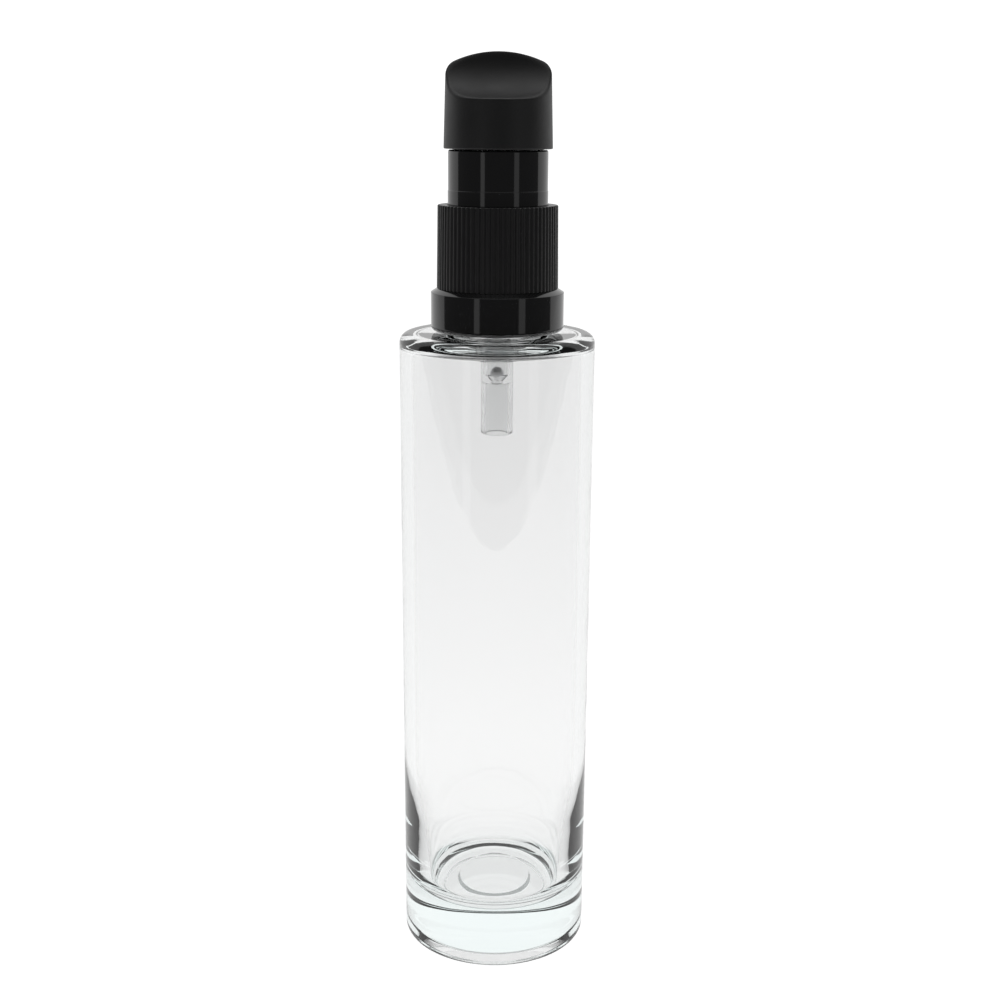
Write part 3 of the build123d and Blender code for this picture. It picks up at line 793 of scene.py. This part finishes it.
class FB_OT_head(bpy.types.Operator):
    """Make the matte head with its finger scoop, and the nozzle set in its back"""

    bl_idname = "bottle.head"
    bl_label = "Head and Nozzle"

    def execute(self, context):
        size = context.scene.head_settings
        self.make_shell(size)
        self.make_nozzle(size)
        dress("actuator_core", white_plastic())
        return {"FINISHED"}

    def make_shell(self, size):
        """Shell turned about the axis from one outline, up the inside and down the outside, then scooped.

        The dome's radius is (r^2 + h^2) / 2h, for a rise h over a side of radius r. On the inside the scoop
        is larger by the wall, which gives the scooped shell its thickness."""
        rise = size.apex - size.side_top
        dome = (size.top_radius**2 + rise**2) / (2 * rise)
        centre = size.apex - dome
        inner_radius = size.top_radius - size.wall
        split = size.outlet - 0.5 * MM
        over = edge_and_dome(size, dome, centre)
        draft = (size.radius - size.top_radius) / (over[0, 1] - size.bottom)
        inside = arc_down(dome - size.wall, centre, inner_radius, steps=46)
        side = rounded(
            (inner_radius, inside[-1, 1], 0),
            (inner_radius, size.bore_top, 0.05 * MM),
            (size.bore, size.bore_top, 0.05 * MM),
            (size.bore, size.bottom, 0.15 * MM),
            (size.radius, size.bottom, 0.2 * MM),
            (size.radius - draft * (split - size.bottom), split, 0),
            steps=6,
        )
        outline = np.concatenate([inside, side[1:], over])
        outline = divided(
            outline, 0.14 * MM, lambda radius, height: (radius > inner_radius) & (height > split)
        )
        inner_rows = np.arange(len(outline)) < len(inside) + 2
        grown = np.where(inner_rows, size.wall, 0.0)[None, :, None]
        mesh = capped_mesh("matte_head_shell", scooped(unrolled(turned(outline, columns=360)), grown, size))
        piece = add_piece(mesh, "head", "matte_black_plastic", black_plastic("matte"), "actuator_shell")
        self.cut_outlet(piece, size)

    def cut_outlet(self, piece, size):
        """Cuts the round hole for the nozzle through the back of the shell."""
        hole = rounded(
            (0, 0, 0),
            (size.outlet_radius, 0, 0),
            (size.outlet_radius, size.radius, 0),
            (0, size.radius, 0),
        )
        grid = unrolled(turned(hole, columns=48))
        tool_mesh = capped_mesh("outlet_tool", lay_back(grid, size.top_radius - 2 * size.wall, size.outlet))
        tool = bpy.data.objects.new("outlet_tool", tool_mesh)
        bpy.context.scene.collection.objects.link(tool)
        cut = piece.modifiers.new("outlet", "BOOLEAN")
        cut.operation = "DIFFERENCE"
        cut.solver = "EXACT"
        cut.object = tool
        graph = bpy.context.evaluated_depsgraph_get()
        cut_mesh = bpy.data.meshes.new_from_object(piece.evaluated_get(graph))
        piece.modifiers.clear()
        old = piece.data
        piece.data = cut_mesh
        bpy.data.meshes.remove(old)
        cut_mesh.name = piece.name
        bpy.data.objects.remove(tool)
        bpy.data.meshes.remove(tool_mesh)
        cut_mesh.set_sharp_from_angle(angle=radians(32))

    def make_nozzle(self, size):
        """Round insert with a countersunk orifice, lying along +Y in the back of the head."""
        low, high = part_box("nozzle_insert")
        radius, depth = high[0], high[1] - low[1]
        inlet = 0.8 * MM
        outline = rounded(
            (inlet, 0, 0.05 * MM),
            (radius, 0, 0.1 * MM),
            (radius, depth, 0.12 * MM),
            (2 * size.orifice, depth, 0.1 * MM),
            (size.orifice, depth - 0.35 * MM, 0.05 * MM),
            (size.orifice, depth / 2, 0.03 * MM),
            (inlet, depth / 2, 0.05 * MM),
            steps=5,
        )
        grid = unrolled(turned(outline, columns=64))
        mesh = ring_mesh("outlet_nozzle", lay_back(grid, low[1], size.outlet))
        add_piece(mesh, "head", "gloss_black_plastic", black_plastic("gloss"), "nozzle_insert")


def scooped(points, grown, size):
    """Points pulled in along straight lines towards a heart under the head, as far as where each line first
    meets the scoop, an ellipse turned about its long axis, whose half axes are larger by what is given.

    The line h + t d from the heart to a point meets the scoop about m where |(h + t d - m) / axes| = 1, which
    is a t^2 + 2 b t + c = 0. The pull is the smooth least of its first root and 1, where the point lies."""
    heart = np.array([0.0, size.heart_back, size.bottom - size.heart_drop])
    middle = np.array([0.0, -size.scoop_offset, size.scoop_height])
    axes = np.array([size.scoop_half_length, size.scoop_radius, size.scoop_radius]) + grown
    never = 9.0
    way = points - heart
    start, step = (heart - middle) / axes, way / axes
    a = (step * step).sum(axis=-1)
    b = (start * step).sum(axis=-1)
    c = (start * start).sum(axis=-1) - 1
    root = b * b - a * c
    meets = np.where((root > 0) & (b < 0), (-b - np.sqrt(np.maximum(root, 0))) / a, never)
    run = np.linalg.norm(way, axis=-1)
    pull = smooth_least(run, meets * run, size.scoop_round) / run
    return heart + way * pull[..., None]


def arc_down(radius, centre, end_radius, steps):
    """Points of a dome's inside, from the axis down to where it meets a side of the end radius."""
    angle = np.linspace(0, np.arcsin(end_radius / radius), steps)
    return np.stack([radius * np.sin(angle), centre + radius * np.cos(angle)], axis=-1)


def edge_and_dome(size, dome, centre):
    """Points from the top of the drafted side over its rounded edge and along the dome to the axis.

    The rounding's centre is the point that lies its radius inside both the side and the dome."""
    edge = size.edge_round
    height = centre + sqrt((dome - edge) ** 2 - (size.top_radius - edge) ** 2)
    middle = np.array([size.top_radius - edge, height])
    tangent = np.arctan2(height - centre, size.top_radius - edge)
    arc_points, dome_points = 14, 80
    angle = np.linspace(0, tangent, arc_points)
    arc = middle + edge * np.stack([np.cos(angle), np.sin(angle)], axis=-1)
    sweep = np.linspace(tangent, pi / 2, dome_points)[1:]
    top = np.stack([dome * np.cos(sweep), centre + dome * np.sin(sweep)], axis=-1)
    top[-1, 0] = 0.0
    return np.concatenate([arc, top])


def lay_back(grid, start, height):
    """A grid turned about Z laid along +Y: it starts that far behind the axis, at that height.

    Each point (x, y, z) goes to (y, start + z, height + x), which keeps the surface the right way out."""
    x, y, z = np.moveaxis(grid, -1, 0)
    return np.stack([y, start + z, height + x], axis=-1)


def white_plastic():
    """White moulded plastic of the parts inside the pump, made once."""
    made = bpy.data.materials.get("white pump plastic")
    return made or moulded(
        "white pump plastic", (0.84, 0.84, 0.82), roughness=0.35, grain=1200.0, depth=0.003 * MM, spread=0.04
    )


class FB_OT_pump(bpy.types.Operator):
    """Make the pump's translucent body, its ball and spring, and finish its gasket and inner pieces"""

    bl_idname = "bottle.pump"
    bl_label = "Pump"

    def execute(self, context):
        size = context.scene.pump_settings
        natural = moulded(
            "natural plastic", tuple(size.natural),
            roughness=0.12, grain=700.0, depth=0.002 * MM, spread=0.02,
            **{"Transmission Weight": 0.93, "IOR": 1.4},
        )
        soft_white = moulded(
            "soft white plastic", (0.88, 0.88, 0.86),
            roughness=0.5, grain=900.0, depth=0.004 * MM, spread=0.03,
        )
        steel = drawn_steel(tuple(size.steel))
        self.make_housing(size, natural)
        self.make_ball(steel)
        self.make_spring(size, steel)
        dress("chaplet", natural)
        dress("neck_gasket", closed_cell_foam())
        dress("stem", white_plastic())
        dress("piston_rod", white_plastic())
        dress("piston", soft_white)
        return {"FINISHED"}

    def make_housing(self, size, finish):
        """Flange, barrel, cone, foot with its dip tube socket, and the conical seat under the ball."""
        flange_top = top_of("pump_housing") * MM
        flange_foot = flange_top - size.flange_thickness
        socket_top = size.foot_bottom + size.socket_length
        fine = 0.12 * MM
        outline = rounded(
            (size.socket, size.foot_bottom, fine),
            (size.foot, size.foot_bottom, 0.35 * MM),
            (size.foot, size.barrel_bottom - size.cone, 0.3 * MM),
            (size.barrel, size.barrel_bottom, 0.3 * MM),
            (size.barrel, flange_foot, 0.2 * MM),
            (size.flange, flange_foot, fine),
            (size.flange, flange_top, fine),
            (size.barrel_bore, flange_top, 0.3 * MM),
            (size.barrel_bore, size.barrel_bottom, 0.2 * MM),
            (size.chamber, size.barrel_bottom - 0.5 * MM, fine),
            (size.chamber, size.seat_top, 0.3 * MM),
            (size.throat, size.seat_bottom, 0.08 * MM),
            (size.throat, socket_top, 0.08 * MM),
            (size.socket, socket_top, 0.1 * MM),
            steps=7,
        )
        mesh = ring_mesh("pump_barrel", unrolled(turned(outline, columns=128)))
        add_piece(mesh, "pump_body", "natural_plastic", finish, "pump_housing")

    def make_ball(self, finish):
        """Sphere turned from a half circle."""
        low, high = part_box("check_ball")
        radius = (high[2] - low[2]) / 2
        centre = (high[2] + low[2]) / 2
        angle = np.linspace(-pi / 2, pi / 2, 33)
        outline = np.stack([radius * np.cos(angle), centre + radius * np.sin(angle)], axis=-1)
        outline[[0, -1], 0] = 0.0
        mesh = capped_mesh("steel_check_ball", unrolled(turned(outline, columns=64)))
        add_piece(mesh, "ball", "steel", finish, "check_ball")

    def make_spring(self, size, finish):
        """Round wire along a helix whose first and last turns lie closed.

        With u from 0 to 1 along the wire, its angle is turns 2 pi u. Its height is the closed pitch times the
        turn in the first and last turn, rises evenly between them, and is then averaged over a quarter turn
        to each side. The wire's section is a circle in the plane of the radius and the line square to both
        the radius and the path."""
        steps_per_turn, sides = 36, 12
        blend = steps_per_turn // 4
        window = 2 * blend + 1
        foot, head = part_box("return_spring")[0][2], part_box("return_spring")[1][2]
        bottom, top = foot + size.wire, head - size.wire
        along = np.linspace(0, 1, int(size.coil_turns * steps_per_turn) + 1)
        turn = along * size.coil_turns
        closed = 2.1 * size.wire
        closed_part = np.clip(turn, 0, 1) + np.clip(turn - size.coil_turns + 1, 0, 1)
        open_part = np.clip((turn - 1) / (size.coil_turns - 2), 0, 1)
        height = bottom + closed * closed_part + (top - bottom - 2 * closed) * open_part
        height = np.convolve(np.pad(height, blend, mode="edge"), np.full(window, 1 / window), mode="valid")
        angle = FULL_TURN * turn
        path = np.stack([size.coil * np.cos(angle), size.coil * np.sin(angle), height], axis=-1)
        out = np.stack([np.cos(angle), np.sin(angle), np.zeros_like(angle)], axis=-1)
        ahead = np.gradient(path, axis=0)
        ahead /= np.linalg.norm(ahead, axis=1, keepdims=True)
        up = np.cross(ahead, out)
        section = np.arange(sides) * FULL_TURN / sides
        circle = np.cos(section)[:, None, None] * out + np.sin(section)[:, None, None] * up
        tube = path + size.wire * circle
        first, last = (np.broadcast_to(end, (sides, 1, 3)) for end in (path[0], path[-1]))
        grid = np.concatenate([first, tube, last], axis=1)
        mesh = capped_mesh("steel_return_spring", grid[::-1])
        piece = add_piece(mesh, "pump_body", "steel", finish, "return_spring")
        travel = next(joint for joint in frame["joints"] if joint["name"] == "head_press")["range_m"][1]
        keep = (head - foot - travel) / (head - foot)
        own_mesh(piece)


# ---- Studio ----


class FB_OT_studio(bpy.types.Operator):
    """Make the pale floor, the surroundings, the soft lights and the camera"""

    bl_idname = "bottle.studio"
    bl_label = "Studio"

    def execute(self, context):
        size = context.scene.studio_settings
        context.scene.view_settings.view_transform = "Standard"
        self.make_floor(size)
        self.make_world(context.scene, size)
        self.make_lights(context.scene, size)
        self.make_camera(context.scene, size)
        return {"FINISHED"}

    def make_floor(self, size):
        """Flat round disc, just below the bottle's standing ring, with its middle behind the bottle.

        The radius of each ring is the floor's times the square of an even share, from the rim inwards."""
        rings, columns, drop = 24, 96, 0.02 * MM
        out = np.linspace(0, 1, rings)[::-1] ** 2
        outline = np.stack([size.floor_radius * out, np.full(rings, -drop)], axis=-1)
        grid = unrolled(turned(outline, columns))
        grid[..., 1] += size.floor_back
        mesh = new_mesh("pale_floor", grid.reshape(-1, 3), quads(columns, rings, False))
        floor = bpy.data.objects.new("pale_floor", mesh)
        bpy.context.scene.collection.objects.link(floor)
        shader = material("pale floor")
        surface = shader.node(
            "ShaderNodeBsdfPrincipled",
            inputs={
                "Base Color": (0.35, 0.35, 0.35, 1.0),
                "Roughness": 0.9,
                "Specular IOR Level": 0.1,
                "Emission Color": (1.0, 1.0, 1.0, 1.0),
                "Emission Strength": size.floor_glow,
            },
        )
        plain = shader.node("ShaderNodeEmission", inputs={"Strength": size.backdrop})
        rays = shader.node("ShaderNodeLightPath", output="Is Camera Ray")
        mixed = shader.node("ShaderNodeMixShader", inputs={0: rays * size.floor_white, 1: surface, 2: plain})
        floor.data.materials.append(shader.finish(mixed))

    def make_world(self, scene, size):
        """White backdrop behind the bottle, dim room in front of it.

        Mirrored light is bright where its direction lies within the white half angle of +Y, seen from above,
        and dim elsewhere. Through the glass the room is bright behind, fades over a wide angle to the front,
        and turns dark above, from 30 degrees up (a sine of 0.5) to 58 degrees (a sine of 0.85)."""
        world = bpy.data.worlds.new("studio")
        scene.world = world
        shader = Shader(world)
        way = shader.node("ShaderNodeTexCoord", output="Generated")
        x, y, z = shader.parts(way)
        flat = (x * x + y * y + 1e-6) ** 0.5
        facing = y / flat
        edge = cos(size.white_half_angle)
        behind = shader.step(facing, edge - 0.02, edge + 0.02)
        faded = shader.step(facing, -0.15, edge + 0.1)
        mirrored = size.front + (size.back - size.front) * behind
        through = size.front_through + (size.beyond - size.front_through) * faded
        above = shader.step(z, 0.5, 0.85)
        through = through * (1 - above) + size.above_through * above
        outputs = shader.node("ShaderNodeLightPath").socket.node.outputs
        seen = Value(shader, outputs["Is Camera Ray"])
        passed = Value(shader, outputs["Is Transmission Ray"])
        beyond = mirrored * (1 - passed) + through * passed
        strength = beyond * (1 - seen) + size.backdrop * seen
        background = shader.node("ShaderNodeBackground", inputs={"Color": (1, 1, 1, 1), "Strength": strength})
        shader.node("ShaderNodeOutputWorld", inputs={"Surface": background})

    def make_lights(self, scene, size):
        """Two tall soft boxes in front and a wide one overhead, each turned towards the pump."""
        target = np.array([0.0, 0.0, size.aim])
        for name, place, extent, power in (
            ("left_soft_box", (-0.62, -0.88, 0.05), (0.18, 0.9), 0.33),
            ("right_soft_box", (0.72, -0.78, 0.05), (0.22, 0.9), 0.33),
            ("overhead_soft_box", (0.0, -0.1, 1.1), (0.9, 0.9), 2.4),
        ):
            self.add_light(scene, name, place, target, extent, power)

    def add_light(self, scene, name, place, target, extent, power):
        """Rectangular area light that faces a target, and that glass doesn't show as a shape."""
        lamp = bpy.data.lights.new(name, "AREA")
        lamp.shape = "RECTANGLE"
        lamp.size, lamp.size_y = extent
        lamp.energy = power
        light = bpy.data.objects.new(name, lamp)
        light.location = place
        light.rotation_euler = Vector(target - np.array(place)).to_track_quat("-Z", "Y").to_euler()
        light.visible_transmission = False
        scene.collection.objects.link(light)

    def make_camera(self, scene, size):
        """Camera that looks along +Y and down, with the picture shifted to where the bottle stands in it."""
        lens = bpy.data.cameras.new("camera")
        lens.lens = size.lens
        lens.sensor_width = size.sensor
        lens.shift_x = size.shift_x
        lens.shift_y = size.shift_y
        lens.clip_start = 0.01
        camera = bpy.data.objects.new("camera", lens)
        camera.location = (0.0, -size.camera_distance, size.camera_height)
        tilt = Matrix.Rotation(pi / 2 - size.camera_pitch, 4, "X")
        roll = Matrix.Rotation(size.camera_roll, 4, "Z")
        camera.rotation_euler = (tilt @ roll).to_euler()
        scene.collection.objects.link(camera)
        scene.camera = camera


class FB_PT_bottle(bpy.types.Panel):
    """Buttons for each piece of the bottle"""

    bl_label = "Foundation Bottle"
    bl_idname = "FB_PT_bottle"
    bl_space_type = "VIEW_3D"
    bl_region_type = "UI"
    bl_category = "Bottle"

    def draw(self, context):
        for operator in OPERATORS:
            self.layout.operator(operator.bl_idname)
        for name in SETTINGS:
            box = self.layout.box()
            group = getattr(context.scene, name)
            for field in group.bl_rna.properties.keys():
                if field not in {"rna_type", "name"}:
                    box.prop(group, field)


SETTINGS = {
    "bottle_settings": BottleSettings,
    "thread_settings": ThreadSettings,
    "closure_settings": ClosureSettings,
    "head_settings": HeadSettings,
    "pump_settings": PumpSettings,
    "studio_settings": StudioSettings,
}
OPERATORS = (FB_OT_glass_bottle, FB_OT_closure, FB_OT_head, FB_OT_pump, FB_OT_studio)


def register():
    """Registers the classes and hangs the settings on the scene."""
    for made in (*SETTINGS.values(), *OPERATORS, FB_PT_bottle):
        bpy.utils.register_class(made)
    for name, group in SETTINGS.items():
        setattr(bpy.types.Scene, name, PointerProperty(type=group))


def unregister():
    """Takes the settings and the classes away again."""
    for name in SETTINGS:
        delattr(bpy.types.Scene, name)
    for made in (FB_PT_bottle, *reversed(OPERATORS), *reversed(SETTINGS.values())):
        bpy.utils.unregister_class(made)


def main():
    """Makes every piece in order."""
    register()
    bpy.ops.bottle.glass_bottle()
    bpy.ops.bottle.closure()
    bpy.ops.bottle.head()
    bpy.ops.bottle.pump()
    bpy.ops.bottle.studio()


if __name__ == "__main__":
    main()
